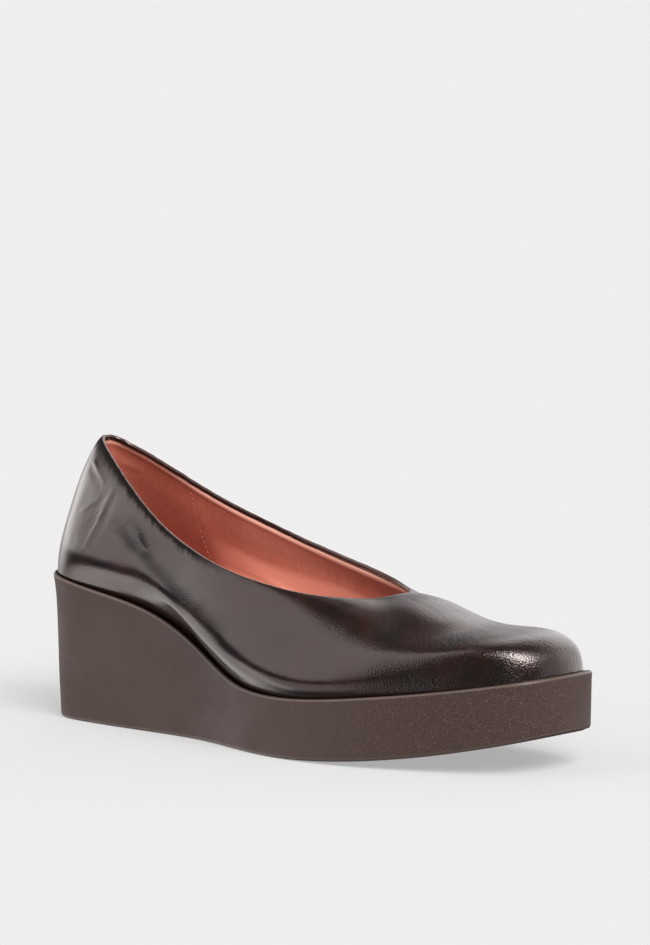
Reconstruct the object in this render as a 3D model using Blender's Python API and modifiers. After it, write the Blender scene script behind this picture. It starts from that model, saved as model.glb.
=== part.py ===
"""Slip-on wedge pump for the right foot: a moulded wedge sole, a one-piece leather upper and an insole.

Sizes are in millimetres here and become metres where a mesh is made. Along runs from the back of the heel
to the toe, across from the middle outwards on either side, and heights from the floor. In the finished
model +X points to the toe, +Y to the inner side of the foot and +Z up, with the origin on the floor under
the middle of the shoe.
"""

from collections import namedtuple

import bmesh
import bpy
import numpy as np

MM = 0.001

# Driving dimensions. The sole's underside is flat up to SPRING_START and sprung up by TOE_SPRING at the toe.
SOLE_LENGTH = 249.6
SPRING_START = 135.0
TOE_SPRING = 15.6

# The sole's rim stands LIP_RECESS above the bed that the upper and the insole sit in. Its inner wall leans
# by LIP_LEAN. Under it the side flares out, over FLARE_DEPTH or at most FLARE_SHARE of the side's height.
LIP_RECESS = 1.6
LIP_LEAN = 0.4
LIP_ROUND = 1.0
FOOT_ROUND = 1.6
FLARE_DEPTH = 13.0
FLARE_SHARE = 0.4

# Thickness of the upper's wall and of the insole, the gap between pieces that meet, and the insole's play
WALL = 2.0
INSOLE_THICKNESS = 3.0
GAP = 0.3
INSOLE_CLEARANCE = 0.5

# Facets
POINTS_AROUND = 96
RIB_STEPS = 16
STEPS_ACROSS = 4
SMOOTH_UP_TO = np.radians(40)

# Where the middle of a quarter round lies, as a share of its radius
ROUND_MIDDLE = 1 - np.sqrt(0.5)

# The sole's top outline, from the back of the heel to the toe on both sides of the foot. Ledge is the rim of
# the sole that shows beside the upper, tuck is how much further in the upper's lower edge lies, and draft is
# how far the sole has drawn in at the floor.
Outline = namedtuple("Outline", "name along outer_across inner_across ledge tuck draft")
OUTLINE = [
    Outline("heel_back", 0.0, 0.0, 0.0, 0.9, 0.5, 2.8),
    Outline("heel_round", 5.6, 21.6, 20.6, 1.0, 0.6, 2.8),
    Outline("heel_side", 25.5, 28.0, 26.8, 1.4, 1.5, 2.8),
    Outline("heel_front", 55.0, 28.6, 27.4, 1.7, 2.4, 1.7),
    Outline("waist", 92.0, 31.4, 28.4, 1.7, 2.8, 1.3),
    Outline("flare", 125.0, 40.8, 32.4, 1.7, 2.2, 1.0),
    Outline("ball", 155.0, 43.8, 36.8, 1.8, 1.3, 0.6),
    Outline("toe_side", 190.0, 37.9, 39.4, 2.0, 1.2, 0.4),
    Outline("toe_corner", 222.0, 28.2, 35.2, 2.2, 1.0, 0.4),
    Outline("toe_front", 244.5, 14.4, 23.6, 2.3, 0.9, 0.4),
    Outline("toe_tip", SOLE_LENGTH, -5.0, 5.0, 2.3, 0.9, 0.4),
]

# Height of the sole's rim along the shoe
Rim = namedtuple("Rim", "along height")
RIM = [
    Rim(-10.0, 61.4),
    Rim(10.0, 58.1),
    Rim(32.0, 54.6),
    Rim(62.0, 48.7),
    Rim(80.0, 41.9),
    Rim(98.0, 33.0),
    Rim(114.0, 26.7),
    Rim(132.0, 24.2),
    Rim(150.0, 24.2),
    Rim(175.0, 26.4),
    Rim(220.0, 32.6),
    Rim(250.0, 37.8),
]

# The sole's side between rim and floor: how far below the rim, as shares of the flare's depth and of the
# side's height, and the share of the draft reached there. The flare draws in quicker than the wall below it.
Side = namedtuple("Side", "name flare_down tall_down draft_in")
SIDE = [
    Side("under_lip", 0.5, 0.0, 0.28),
    Side("flare_foot", 1.0, 0.0, 0.45),
    Side("wall", 0.0, 0.7, 0.75),
]

# The collar's edge, one row for each row of the outline
Collar = namedtuple("Collar", "name along outer_across inner_across height")
COLLAR = [
    Collar("heel_back", 14.2, 0.0, 0.0, 114.2),
    Collar("heel_round", 17.4, 6.2, 5.8, 113.0),
    Collar("heel_side", 30.0, 13.8, 11.8, 106.4),
    Collar("heel_front", 54.6, 24.2, 21.4, 91.7),
    Collar("waist", 81.8, 30.6, 32.4, 78.1),
    Collar("flare", 112.4, 34.6, 34.2, 69.4),
    Collar("ball", 138.1, 30.3, 30.3, 64.2),
    Collar("toe_side", 156.0, 22.0, 20.0, 62.3),
    Collar("toe_corner", 165.5, 12.6, 12.0, 61.8),
    Collar("toe_front", 169.8, 6.0, 6.0, 62.6),
    Collar("toe_tip", 170.9, 0.0, 0.0, 63.0),
]

# Shape of the upper's section between its lower edge and the collar. The belly stands so far out from the
# lower edge and so far above it. Shoulder, instep and crest lie at a share of the straight line between
# lower edge and collar, so far out from that line.
Rib = namedtuple(
    "Rib",
    "name belly_out belly_up shoulder_at shoulder_out instep_at instep_out crest_at crest_out",
)
RIBS = [
    Rib("heel_back", -0.4, 10.0, 0.48, 3.2, 0.66, 3.0, 0.84, 2.0),
    Rib("heel_round", -0.6, 10.0, 0.48, 3.2, 0.66, 3.0, 0.84, 2.0),
    Rib("heel_side", 1.8, 11.0, 0.50, 3.5, 0.67, 3.1, 0.84, 2.0),
    Rib("heel_front", 5.2, 12.5, 0.50, 3.9, 0.67, 2.8, 0.84, 1.5),
    Rib("waist", 9.0, 12.5, 0.50, 5.7, 0.67, 3.7, 0.84, 1.8),
    Rib("flare", 6.6, 9.4, 0.48, 6.5, 0.65, 5.0, 0.83, 2.8),
    Rib("ball", 3.7, 4.9, 0.40, 6.0, 0.61, 4.9, 0.82, 2.8),
    Rib("toe_side", 1.7, 5.4, 0.37, 6.9, 0.60, 4.8, 0.80, 2.9),
    Rib("toe_corner", -0.3, 9.0, 0.28, 9.0, 0.57, 4.1, 0.80, 2.8),
    Rib("toe_front", -1.5, 9.0, 0.20, 10.6, 0.53, 3.5, 0.79, 2.9),
    Rib("toe_tip", -1.8, 9.0, 0.18, 11.0, 0.52, 3.3, 0.78, 3.1),
]

# Colours, as linear values, and finish: colour, roughness
LEATHER_FINISH = ((0.030, 0.016, 0.013), 0.32)
SOLE_FINISH = ((0.068, 0.047, 0.040), 0.62)
INSOLE_FINISH = ((0.520, 0.125, 0.075), 0.55)


def spline_slopes(at, values, period=None):
    """Slopes at the knots of the smooth cubic curve through values, closed where a period is given."""
    count = len(at)
    matrix = np.zeros((count, count))
    right = np.zeros((count,) + values.shape[1:])
    closed = period is not None
    for k in range(count):
        before, after = (k - 1) % count, (k + 1) % count
        step_in = (at[k] - at[before]) % period if closed else at[k] - at[before]
        step_out = (at[after] - at[k]) % period if closed else at[after] - at[k]
        if closed or k > 0:
            matrix[k, before] += 1 / step_in
            matrix[k, k] += 2 / step_in
            right[k] += 3 * (values[k] - values[before]) / step_in**2
        if closed or k < count - 1:
            matrix[k, after] += 1 / step_out
            matrix[k, k] += 2 / step_out
            right[k] += 3 * (values[after] - values[k]) / step_out**2
    return np.linalg.solve(matrix, right)


def spline(at, values, where, period=None):
    """Points of that curve at each place in where."""
    at, values = np.asarray(at, float), np.asarray(values, float)
    slopes = spline_slopes(at, values, period)
    if period is not None:
        at = np.append(at, at[0] + period)
        values = np.concatenate([values, values[:1]])
        slopes = np.concatenate([slopes, slopes[:1]])
    where = np.asarray(where, float)
    k = np.clip(np.searchsorted(at, where, side="right") - 1, 0, len(at) - 2)
    shape = where.shape + (1,) * (values.ndim - 1)
    step = (at[k + 1] - at[k]).reshape(shape)
    t = (where - at[k]).reshape(shape) / step
    return (
        (2 * t**3 - 3 * t**2 + 1) * values[k]
        + (t**3 - 2 * t**2 + t) * step * slopes[k]
        + (3 * t**2 - 2 * t**3) * values[k + 1]
        + (t**3 - t**2) * step * slopes[k + 1]
    )


def rim_height(along):
    return spline([r.along for r in RIM], [r.height for r in RIM], along)


def foot_height(along):
    """Height of the sole's underside: flat on the floor, then sprung up towards the toe."""
    share = np.clip((along - SPRING_START) / (SOLE_LENGTH - SPRING_START), 0, None)
    return TOE_SPRING * share**2


def both_sides(outer, inner):
    """Rows of the outer side from heel to toe, then of the inner side from toe to heel."""
    return np.array(list(outer) + list(inner)[-2:0:-1], float)


def ring_knots():
    """Place of each row round the shoe: 0 at the heel's back, 1 at the toe, on to 2 at the heel again."""
    points = np.array([(r.along, r.outer_across) for r in OUTLINE])
    run = np.append(0, np.cumsum(np.linalg.norm(np.diff(points, axis=0), axis=1)))
    side = run / run[-1]
    return np.append(side, 2 - side[-2:0:-1])


def round_the_shoe(outer, inner, count):
    """A column of the tables as a smooth closed curve with count points."""
    values = both_sides(outer, inner)
    return spline(ring_knots(), values, np.arange(count) * 2 / count, period=2)


def same_both_sides(values, count):
    return round_the_shoe(values, values, count)


def outline_ring(count):
    """The sole's top outline in plan, and the direction outwards at each of its points."""
    plan = round_the_shoe(
        [(r.along, -r.outer_across) for r in OUTLINE],
        [(r.along, r.inner_across) for r in OUTLINE],
        count,
    )
    tangent = np.roll(plan, -1, axis=0) - np.roll(plan, 1, axis=0)
    outwards = np.stack([tangent[:, 1], -tangent[:, 0]], axis=1)
    return plan, outwards / np.linalg.norm(outwards, axis=1)[:, None]


def inset_ring(count, inset):
    """The outline drawn in by inset, a number or one for each point."""
    plan, outwards = outline_ring(count)
    return plan - outwards * np.reshape(np.broadcast_to(inset, count), (-1, 1))


def with_height(plan, height):
    return np.column_stack([plan, height])


def feather_inset(count):
    """How far inside the sole's outline the upper's lower edge runs."""
    return same_both_sides([r.ledge + r.tuck for r in OUTLINE], count)


def floor_height(along):
    """Height of the sole's top inside its rim."""
    return rim_height(along) - LIP_RECESS


def collar_ring(count):
    return round_the_shoe(
        [(r.along, -r.outer_across, r.height) for r in COLLAR],
        [(r.along, r.inner_across, r.height) for r in COLLAR],
        count,
    )


def rib_column(name, count):
    return same_both_sides([getattr(r, name) for r in RIBS], count)


def upper_surface(count, steps):
    """Outer face of the upper, as steps + 1 rings of count points from its lower edge to the collar."""
    plan = inset_ring(count, feather_inset(count))
    _, outwards = outline_ring(count)
    feather = with_height(plan, floor_height(plan[:, 0]) + GAP)
    belly = feather + with_height(
        outwards * rib_column("belly_out", count)[:, None], rib_column("belly_up", count)
    )
    collar = collar_ring(count)
    chord = collar - feather
    around = np.roll(feather, -1, axis=0) - np.roll(feather, 1, axis=0)
    out = np.cross(around, chord)
    out /= np.linalg.norm(out, axis=1)[:, None]
    knots = [feather, belly]
    for name in ("shoulder", "instep", "crest"):
        share = rib_column(name + "_at", count)[:, None]
        proud = rib_column(name + "_out", count)[:, None]
        knots.append(feather + chord * share + out * proud)
    knots = np.array(knots + [collar])
    rings = np.empty((steps + 1, count, 3))
    for i in range(count):
        run = np.append(0, np.cumsum(np.linalg.norm(np.diff(knots[:, i], axis=0), axis=1)))
        rings[:, i] = spline(run, knots[:, i], np.linspace(0, run[-1], steps + 1))
    return rings


def sole_rings(count):
    """Rings of the sole from the inside of its rim, over the rim and down the side to the floor."""
    ledge = same_both_sides([r.ledge for r in OUTLINE], count)
    draft = same_both_sides([r.draft for r in OUTLINE], count)
    plan, _ = outline_ring(count)
    rim, foot = rim_height(plan[:, 0]), foot_height(plan[:, 0])
    tall = rim - foot
    flare = np.minimum(FLARE_DEPTH, FLARE_SHARE * tall)
    profile = [
        (ledge, rim),
        (LIP_ROUND, rim),
        (LIP_ROUND * ROUND_MIDDLE, rim - LIP_ROUND * ROUND_MIDDLE),
        (0, rim - LIP_ROUND),
    ]
    for row in SIDE:
        profile.append((row.draft_in * draft, rim - row.flare_down * flare - row.tall_down * tall))
    profile += [
        (draft, foot + FOOT_ROUND),
        (draft + FOOT_ROUND * ROUND_MIDDLE, foot + FOOT_ROUND * ROUND_MIDDLE),
        (draft + FOOT_ROUND, foot),
    ]
    recess = inset_ring(count, ledge + LIP_LEAN)
    rings = [with_height(recess, floor_height(recess[:, 0]))]
    return rings + [with_height(inset_ring(count, inset), height) for inset, height in profile]


def insole_foot_height(along):
    return floor_height(along) + GAP


def insole_top_height(along):
    return insole_foot_height(along) + INSOLE_THICKNESS


def insole_rings(count):
    """Rings of the insole: upper edge, then lower edge."""
    plan = inset_ring(count, feather_inset(count) + WALL + INSOLE_CLEARANCE)
    along = plan[:, 0]
    return [with_height(plan, insole_top_height(along)), with_height(plan, insole_foot_height(along))]


def add_rings(bm, rings):
    return [[bm.verts.new(point * MM) for point in ring] for ring in rings]


def loft(bm, rings):
    """Faces between each ring of vertices and the next."""
    for here, there in zip(rings, rings[1:]):
        for i in range(len(here)):
            j = (i + 1) % len(here)
            bm.faces.new((here[i], there[i], there[j], here[j]))


def close_across(bm, ring, height_at):
    """Closes a ring with strips that run across the shoe, each point at the height for its place along."""
    half = len(ring) // 2
    rows = [[ring[0]]]
    for i in range(1, half):
        outer, inner = ring[i], ring[-i]
        row = [outer]
        for share in np.linspace(0, 1, STEPS_ACROSS + 1)[1:-1]:
            point = outer.co.lerp(inner.co, share)
            point.z = height_at(point.x / MM) * MM
            row.append(bm.verts.new(point))
        rows.append(row + [inner])
    rows.append([ring[half]])
    for here, there in zip(rows, rows[1:]):
        for k in range(STEPS_ACROSS):
            corners = [here[min(k, len(here) - 1)], there[min(k, len(there) - 1)]]
            corners += [there[min(k + 1, len(there) - 1)], here[min(k + 1, len(here) - 1)]]
            bm.faces.new(list(dict.fromkeys(corners)))


def finish_mesh(name, bm, shift):
    bmesh.ops.recalc_face_normals(bm, faces=bm.faces)
    bmesh.ops.translate(bm, verts=bm.verts, vec=shift)
    mesh = bpy.data.meshes.new(name)
    bm.to_mesh(mesh)
    bm.free()
    mesh.shade_smooth()
    mesh.set_sharp_from_angle(angle=SMOOTH_UP_TO)
    return mesh


def solid_of_rings(name, rings, top_height, foot_height_at, shift):
    """A solid from its rings, closed at the first by a top and at the last by an underside."""
    bm = bmesh.new()
    rings = add_rings(bm, rings)
    loft(bm, rings)
    close_across(bm, rings[0], top_height)
    close_across(bm, rings[-1], foot_height_at)
    return finish_mesh(name, bm, shift)


def shell_of_rings(name, rings, shift):
    bm = bmesh.new()
    loft(bm, add_rings(bm, rings[::-1]))
    return finish_mesh(name, bm, shift)


def material(name, finish):
    made = bpy.data.materials.new(name)
    made.use_nodes = True
    shader = made.node_tree.nodes["Principled BSDF"]
    colour, roughness = finish
    shader.inputs["Base Color"].default_value = (*colour, 1)
    shader.inputs["Roughness"].default_value = roughness
    shader.inputs["Metallic"].default_value = 0
    return made


def add_object(name, mesh, finish, collection):
    obj = bpy.data.objects.new(name, mesh)
    obj.data.materials.append(material(name, finish))
    collection.objects.link(obj)
    return obj


def main():
    for obj in list(bpy.data.objects):
        bpy.data.objects.remove(obj)
    shoe = bpy.data.collections.new("wedge_pump")
    bpy.context.scene.collection.children.link(shoe)

    surface = upper_surface(POINTS_AROUND, RIB_STEPS)
    plan = np.vstack([outline_ring(POINTS_AROUND)[0], surface[:, :, :2].reshape(-1, 2)])
    middle = (plan.min(axis=0) + plan.max(axis=0)) / 2
    shift = (-middle[0] * MM, -middle[1] * MM, 0)

    sole = solid_of_rings("sole", sole_rings(POINTS_AROUND), floor_height, foot_height, shift)
    add_object("sole", sole, SOLE_FINISH, shoe)

    rings = insole_rings(POINTS_AROUND)
    insole = solid_of_rings("insole", rings, insole_top_height, insole_foot_height, shift)
    add_object("insole", insole, INSOLE_FINISH, shoe)

    upper = add_object("upper", shell_of_rings("upper", surface, shift), LEATHER_FINISH, shoe)
    wall = upper.modifiers.new("wall", "SOLIDIFY")
    wall.thickness = WALL * MM
    wall.offset = -1
    wall.use_even_offset = True
    wall.use_quality_normals = True


main()
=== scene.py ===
"""Looks of the wedge pump: polished brown leather upper, coral lining, moulded wedge sole, on a pale floor.

The shapes are worked out in millimetres from the same tables as the solids: along runs from the back of the
heel to the toe, across from the middle outwards on either side, heights from the floor. They become metres,
in the frame's own place, where a mesh is made.
"""

import math
from collections import namedtuple

import bpy
import numpy as np
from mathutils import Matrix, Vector, noise


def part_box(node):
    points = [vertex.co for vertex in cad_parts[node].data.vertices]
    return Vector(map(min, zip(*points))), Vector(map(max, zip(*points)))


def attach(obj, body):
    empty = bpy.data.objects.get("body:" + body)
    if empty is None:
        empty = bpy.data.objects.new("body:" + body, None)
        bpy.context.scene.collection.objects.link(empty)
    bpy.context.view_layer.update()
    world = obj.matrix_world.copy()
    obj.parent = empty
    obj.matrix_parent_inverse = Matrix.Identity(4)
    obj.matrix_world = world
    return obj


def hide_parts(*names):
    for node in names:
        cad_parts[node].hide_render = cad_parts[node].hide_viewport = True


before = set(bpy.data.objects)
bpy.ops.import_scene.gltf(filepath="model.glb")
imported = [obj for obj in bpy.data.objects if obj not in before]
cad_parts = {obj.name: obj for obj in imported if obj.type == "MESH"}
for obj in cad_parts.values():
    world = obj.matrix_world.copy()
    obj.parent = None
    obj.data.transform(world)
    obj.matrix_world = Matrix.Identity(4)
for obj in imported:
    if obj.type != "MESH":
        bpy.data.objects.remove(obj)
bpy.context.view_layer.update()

MM = 0.001

# Driving dimensions of the solids
SOLE_LENGTH = 249.6
SPRING_START = 135.0
TOE_SPRING = 15.6
LIP_RECESS = 1.6
LIP_LEAN = 0.4
LIP_ROUND = 1.0
FOOT_ROUND = 1.6
FLARE_DEPTH = 13.0
FLARE_SHARE = 0.4
WALL = 2.0
INSOLE_THICKNESS = 3.0
GAP = 0.3
SOLID_POINTS_AROUND = 96

# Fineness of the meshes made here
POINTS_AROUND = 448
LEATHER_POINTS_AROUND = 700
LEATHER_ROWS = 92
LINING_ROWS = 70
HIDDEN_ROW_START = 6
HIDDEN_ROW_STEP = 8
ROUND_STEPS = 8
SIDE_STEPS = 40
STEPS_ACROSS = 14
QUARTER_TURN = np.linspace(0, np.pi / 2, ROUND_STEPS + 1)

# Layers of the upper's wall. The leather is folded over at the collar, FOLD_DEPTH down the inside, and the
# lining's edge starts LINING_DROP under the fold. FOLD_LEAN bounds the slant at which the fold begins, in
# radians, and the hem is the fold's raw edge.
LEATHER = 1.0
FOLD_RADIUS = 0.85
FOLD_START = 0.4 * FOLD_RADIUS
FOLD_DEPTH = 1.1
FOLD_LEAN = (-0.2, 0.9)
HEM_DROP = 0.2
HEM_IN = 0.3
LINING_OUTER = 1.12
LINING_DROP = 0.1
LINING_EDGE = 0.42
# Below the lining's top, its painted edge highlight fades out between these distances
LINING_EDGE_HIGHLIGHT = (0.5, 1.9)
LINING_BEAD = 0.28
LINING_BEAD_BELOW = 1.1
LINING_BEAD_HALF = 0.8
# The lining stands further in between the collar and the insole, tapered between these distances below the
# collar and above its foot, and follows a part of the collar's roll
LINING_FULL = 2.0
LINING_FULL_BELOW = (1.5, 17.0)
LINING_FULL_ABOVE = (3.0, 18.0)
LINING_ROLL = 0.7
LINING_SOFT_SIZE = 11.0
LINING_SOFT_DEPTH = 0.10
# How much light and shade is painted onto the lining, as a paler or darker colour: the first number is its
# plain level behind the seam, and the second adds painted light at the back of the heel. Ahead of the seam it
# gets painted shade near the collar, and full painted light low down. Each pair gives where a change begins
# and ends along the shoe, and PALE_FROM how far below the collar the painted light begins, by place along the
# shoe.
LINING_PAINT_PLAIN = 0.35
HEEL_PAINTED_LIGHT = 0.195
LIGHT_PAINT_AHEAD = (44.0, 64.0)
LIGHT_PAINT_BACK = (16.0, 36.0)
PALE_FROM = [(60.0, 12.0), (110.0, 7.0)]
PALE_FADE = 12.0
# The sock reaches out to the lining's face
INSOLE_CLEARANCE = 0.1
INSOLE_ROUND = 0.7

# Closeness of the leather's points by place round the shoe: 0 at the heel's back, 1 at the toe, 2 at the heel
LEATHER_DENSITY = [
    (0.0, 2.2), (0.30, 2.2), (0.42, 1.2), (0.8, 1.1),
    (1.0, 1.1), (1.2, 1.0), (1.9, 1.0), (2.0, 2.2),
]
DENSITY_STEPS = 4000

Outline = namedtuple("Outline", "name along outer_across inner_across ledge tuck draft")
OUTLINE = [
    Outline("heel_back", 0.0, 0.0, 0.0, 0.9, 0.5, 2.8),
    Outline("heel_round", 5.6, 21.6, 20.6, 1.0, 0.6, 2.8),
    Outline("heel_side", 25.5, 28.0, 26.8, 1.4, 1.5, 2.8),
    Outline("heel_front", 55.0, 28.6, 27.4, 1.7, 2.4, 1.7),
    Outline("waist", 92.0, 31.4, 28.4, 1.7, 2.8, 1.3),
    Outline("flare", 125.0, 40.8, 32.4, 1.7, 2.2, 1.0),
    Outline("ball", 155.0, 43.8, 36.8, 1.8, 1.3, 0.6),
    Outline("toe_side", 190.0, 37.9, 39.4, 2.0, 1.2, 0.4),
    Outline("toe_corner", 222.0, 28.2, 35.2, 2.2, 1.0, 0.4),
    Outline("toe_front", 244.5, 14.4, 23.6, 2.3, 0.9, 0.4),
    Outline("toe_tip", SOLE_LENGTH, -5.0, 5.0, 2.3, 0.9, 0.4),
]

Rim = namedtuple("Rim", "along height")
RIM = [
    Rim(-10.0, 61.4),
    Rim(10.0, 58.1),
    Rim(32.0, 54.6),
    Rim(62.0, 48.7),
    Rim(80.0, 41.9),
    Rim(98.0, 33.0),
    Rim(114.0, 26.7),
    Rim(132.0, 24.2),
    Rim(150.0, 24.2),
    Rim(175.0, 26.4),
    Rim(220.0, 32.6),
    Rim(250.0, 37.8),
]

# Inner edge of the rim, from the inside up to its top: inset past the ledge, fall below the rim, share of
# painted edge highlight
RimStep = namedtuple("RimStep", "inset fall edge")
RIM_STEPS = [RimStep(0.25, 0.5, 0.0), RimStep(0.0, 0.15, 0.5), RimStep(-0.25, 0.0, 1.0)]

Side = namedtuple("Side", "name flare_down tall_down draft_in")
SIDE = [
    Side("under_lip", 0.5, 0.0, 0.28),
    Side("flare_foot", 1.0, 0.0, 0.45),
    Side("wall", 0.0, 0.7, 0.75),
]

Collar = namedtuple("Collar", "name along outer_across inner_across height")
COLLAR = [
    Collar("heel_back", 14.2, 0.0, 0.0, 114.2),
    Collar("heel_round", 17.4, 6.2, 5.8, 113.0),
    Collar("heel_side", 30.0, 13.8, 11.8, 106.4),
    Collar("heel_front", 54.6, 24.2, 21.4, 91.7),
    Collar("waist", 81.8, 30.6, 32.4, 78.1),
    Collar("flare", 112.4, 34.6, 34.2, 69.4),
    Collar("ball", 138.1, 30.3, 30.3, 64.2),
    Collar("toe_side", 156.0, 22.0, 20.0, 62.3),
    Collar("toe_corner", 165.5, 12.6, 12.0, 61.8),
    Collar("toe_front", 169.8, 6.0, 6.0, 62.6),
    Collar("toe_tip", 170.9, 0.0, 0.0, 63.0),
]

Rib = namedtuple(
    "Rib", "name belly_out belly_up shoulder_at shoulder_out instep_at instep_out crest_at crest_out"
)
RIBS = [
    Rib("heel_back", -0.4, 10.0, 0.48, 3.2, 0.66, 3.0, 0.84, 2.0),
    Rib("heel_round", -0.6, 10.0, 0.48, 3.2, 0.66, 3.0, 0.84, 2.0),
    Rib("heel_side", 1.8, 11.0, 0.50, 3.5, 0.67, 3.1, 0.84, 2.0),
    Rib("heel_front", 5.2, 12.5, 0.50, 3.9, 0.67, 2.8, 0.84, 1.5),
    Rib("waist", 9.0, 12.5, 0.50, 5.7, 0.67, 3.7, 0.84, 1.8),
    Rib("flare", 6.6, 9.4, 0.48, 6.5, 0.65, 5.0, 0.83, 2.8),
    Rib("ball", 3.7, 4.9, 0.40, 6.0, 0.61, 4.9, 0.82, 2.8),
    Rib("toe_side", 1.7, 5.4, 0.37, 6.9, 0.60, 4.8, 0.80, 2.9),
    Rib("toe_corner", -0.3, 9.0, 0.28, 9.0, 0.57, 4.1, 0.80, 2.8),
    Rib("toe_front", -1.5, 9.0, 0.20, 10.6, 0.53, 3.5, 0.79, 2.9),
    Rib("toe_tip", -1.8, 9.0, 0.18, 11.0, 0.52, 3.3, 0.78, 3.1),
]

# Creases of the upper's sides, seen from the side: where each starts and ends, its half width and its lift,
# below nothing for a trough. Side is -1 on the outer side of the foot and 1 on the inner, and None on both.
OUTER, INNER = -1, 1
Crease = namedtuple("Crease", "name side along_1 height_1 along_2 height_2 width lift")
CREASES = [
    Crease("heel_ridge", OUTER, 37.6, 95.4, 26.0, 69.5, 1.1, 0.19),
    Crease("heel_ridge_trough", OUTER, 40.2, 94.0, 30.0, 70.0, 1.6, -0.10),
    Crease("heel_ridge_back", OUTER, 33.6, 94.0, 23.0, 74.0, 1.3, -0.06),
    Crease("heel_fine_1", OUTER, 35.5, 91.0, 24.0, 80.0, 0.9, 0.05),
    Crease("heel_fine_2", OUTER, 34.5, 86.5, 22.0, 76.0, 0.9, 0.05),
    Crease("heel_cross", OUTER, 19.0, 104.6, 31.5, 96.4, 0.95, 0.19),
    Crease("heel_cross_trough", OUTER, 18.5, 102.0, 30.0, 94.0, 1.4, -0.08),
    Crease("heel_faint", OUTER, 31.0, 91.5, 19.0, 84.0, 1.1, 0.12),
    Crease("heel_low", OUTER, 33.0, 83.0, 21.0, 76.0, 2.0, -0.08),
    Crease("quarter_slit", OUTER, 57.0, 78.6, 64.0, 73.4, 1.1, -0.10),
    Crease("quarter_dent", OUTER, 50.0, 84.0, 62.0, 74.0, 3.0, -0.14),
    Crease("inner_heel_ridge", INNER, 36.0, 93.0, 27.0, 72.0, 1.3, 0.14),
    Crease("inner_heel_trough", INNER, 39.0, 91.0, 31.0, 72.0, 1.6, -0.10),
    Crease("inner_quarter", INNER, 62.0, 82.0, 78.0, 62.0, 3.6, -0.14),
]
SLIT = next(c for c in CREASES if c.name == "quarter_slit")
LINING_FOLD = Crease("lining_heel_fold", None, 13.0, 104.0, 24.0, 100.0, 1.8, 0.5)

# Creases on top of the vamp, seen from above
Fold = namedtuple("Fold", "name along_1 across_1 along_2 across_2 width lift")
FOLDS = [
    Fold("throat_streak_1", 174.0, -3.0, 196.0, -5.5, 0.9, 0.05),
    Fold("throat_streak_2", 175.0, -5.5, 199.0, -9.0, 0.9, -0.06),
    Fold("throat_streak_3", 176.0, 1.0, 203.0, 1.5, 0.9, -0.05),
    Fold("vamp_streak_1", 196.0, -4.0, 222.0, -7.0, 1.0, 0.05),
    Fold("vamp_streak_2", 198.0, -1.0, 226.0, -2.5, 1.0, -0.05),
    Fold("vamp_streak_3", 202.0, 5.0, 230.0, 4.0, 1.1, 0.05),
    Fold("vamp_streak_4", 206.0, 10.0, 228.0, 9.0, 1.1, -0.05),
    Fold("toe_streak", 222.0, 0.0, 238.0, -1.5, 1.0, -0.05),
]

# Soft unevenness of hand lasted leather, as size and depth, gone at the lower edge within FOOT_FLAT
WOBBLES = [(19.0, 0.13), (7.5, 0.05)]
FOOT_FLAT = 6.0
# Small puckers under the folded collar, whose edge is rolled in before it folds over. Both are strongest at
# the heel and fade along the shoe up to FADE_END.
PUCKER_LENGTH = 2.6
PUCKER_DEPTH = 0.20
PUCKER_REACH = 3.0
ROLL_DEPTH = 1.3
ROLL_REACH = 1.8
ROLL_UNEVEN = 0.35
FADE_END = 150.0
FADE_LENGTH = 60.0
FADE_LEAST = 0.35
# The fullest line of the sides at the waist as along and height, how far it stands out, where along the shoe
# that is most, and how far below the line the leather has turned under again
FULLEST_LINE = [
    (0.0, 78.0), (55.0, 68.0), (70.0, 62.5), (86.0, 56.0),
    (102.0, 50.0), (118.0, 44.0), (250.0, 40.0),
]
FULLEST_LIFT = 1.75
FULLEST_ALONG = 88.0
FULLEST_REACH = 25.0
FULLEST_FALL = 5.3
# The vamp is fuller on its outer side, in a long low swell slanting towards the toe
SWELL_ALONG = 199.0
SWELL_ACROSS = -11.5
SWELL_SLANT = math.radians(42)
SWELL_LENGTH = 19.0
SWELL_WIDTH = 9.0
SWELL_LIFT = 1.9
SWELL_EDGE = 8.0
# Dull dark fringe under the folded edge: how far down it reaches, more at the heel, how ragged its end is, at
# two sizes, where along the shoe it fades, and over which shares of its reach it ends
FRINGE_REACH = 2.6
FRINGE_AT_HEEL = 1.4
FRINGE_HEEL = (25.0, 70.0)
FRINGE_RAGGED = 1.3
FRINGE_COARSE = 1.9
FRINGE_FINE = 0.9
FRINGE_FINE_SHARE = 0.6
FRINGE_END = 114.0
FRINGE_FADE = 25.0
FRINGE_LEAST = 0.15
FRINGE_FULL = 0.3
FRINGE_GONE = 1.5
# At the waist the lower edge is pulled out to the sole's rim, as far up as FOOT_REACH
FOOT_OUT = 1.1
FOOT_REACH = 3.2
FOOT_WAIST = 85.0
FOOT_WAIST_HALF = 75.0
# A small step in the folded edge near the back of the heel, on the inner side
NUB_ALONG = 19.8
NUB_HALF = 1.4
NUB_RISE = 0.5
# The closing seam at the back of the heel, with its ridges so far aside and raised by a share of its depth
BACK_SEAM_DEPTH = 0.2
BACK_SEAM_WIDTH = 0.9
BACK_SEAM_RIDGE = 2.2
BACK_SEAM_RAISE = 0.4
BACK_SEAM_REACH = 8.0

# Seam of the lining: its place along the shoe at a height, its slant forward going down, and its stitches,
# which are sunk in the middle of the length that shows
SEAM_ALONG = 44.7
SEAM_HEIGHT = 94.4
SEAM_SLANT = 0.16
SEAM_STEP = 0.22
SEAM_SOFT = 0.5
SEAM_SHOWN = 27.0
STITCH_PITCH = 2.3
STITCH_LENGTH = 1.2
STITCH_RADIUS = 0.20
STITCH_SINK = 0.16

# Fine wrinkles at the heel: the ways along and across them, as long as they are close, per metre
WRINKLE_DOWN = (-22.0, 0.0, -50.6)
WRINKLE_ACROSS = (303.6, 0.0, -132.0)
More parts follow.
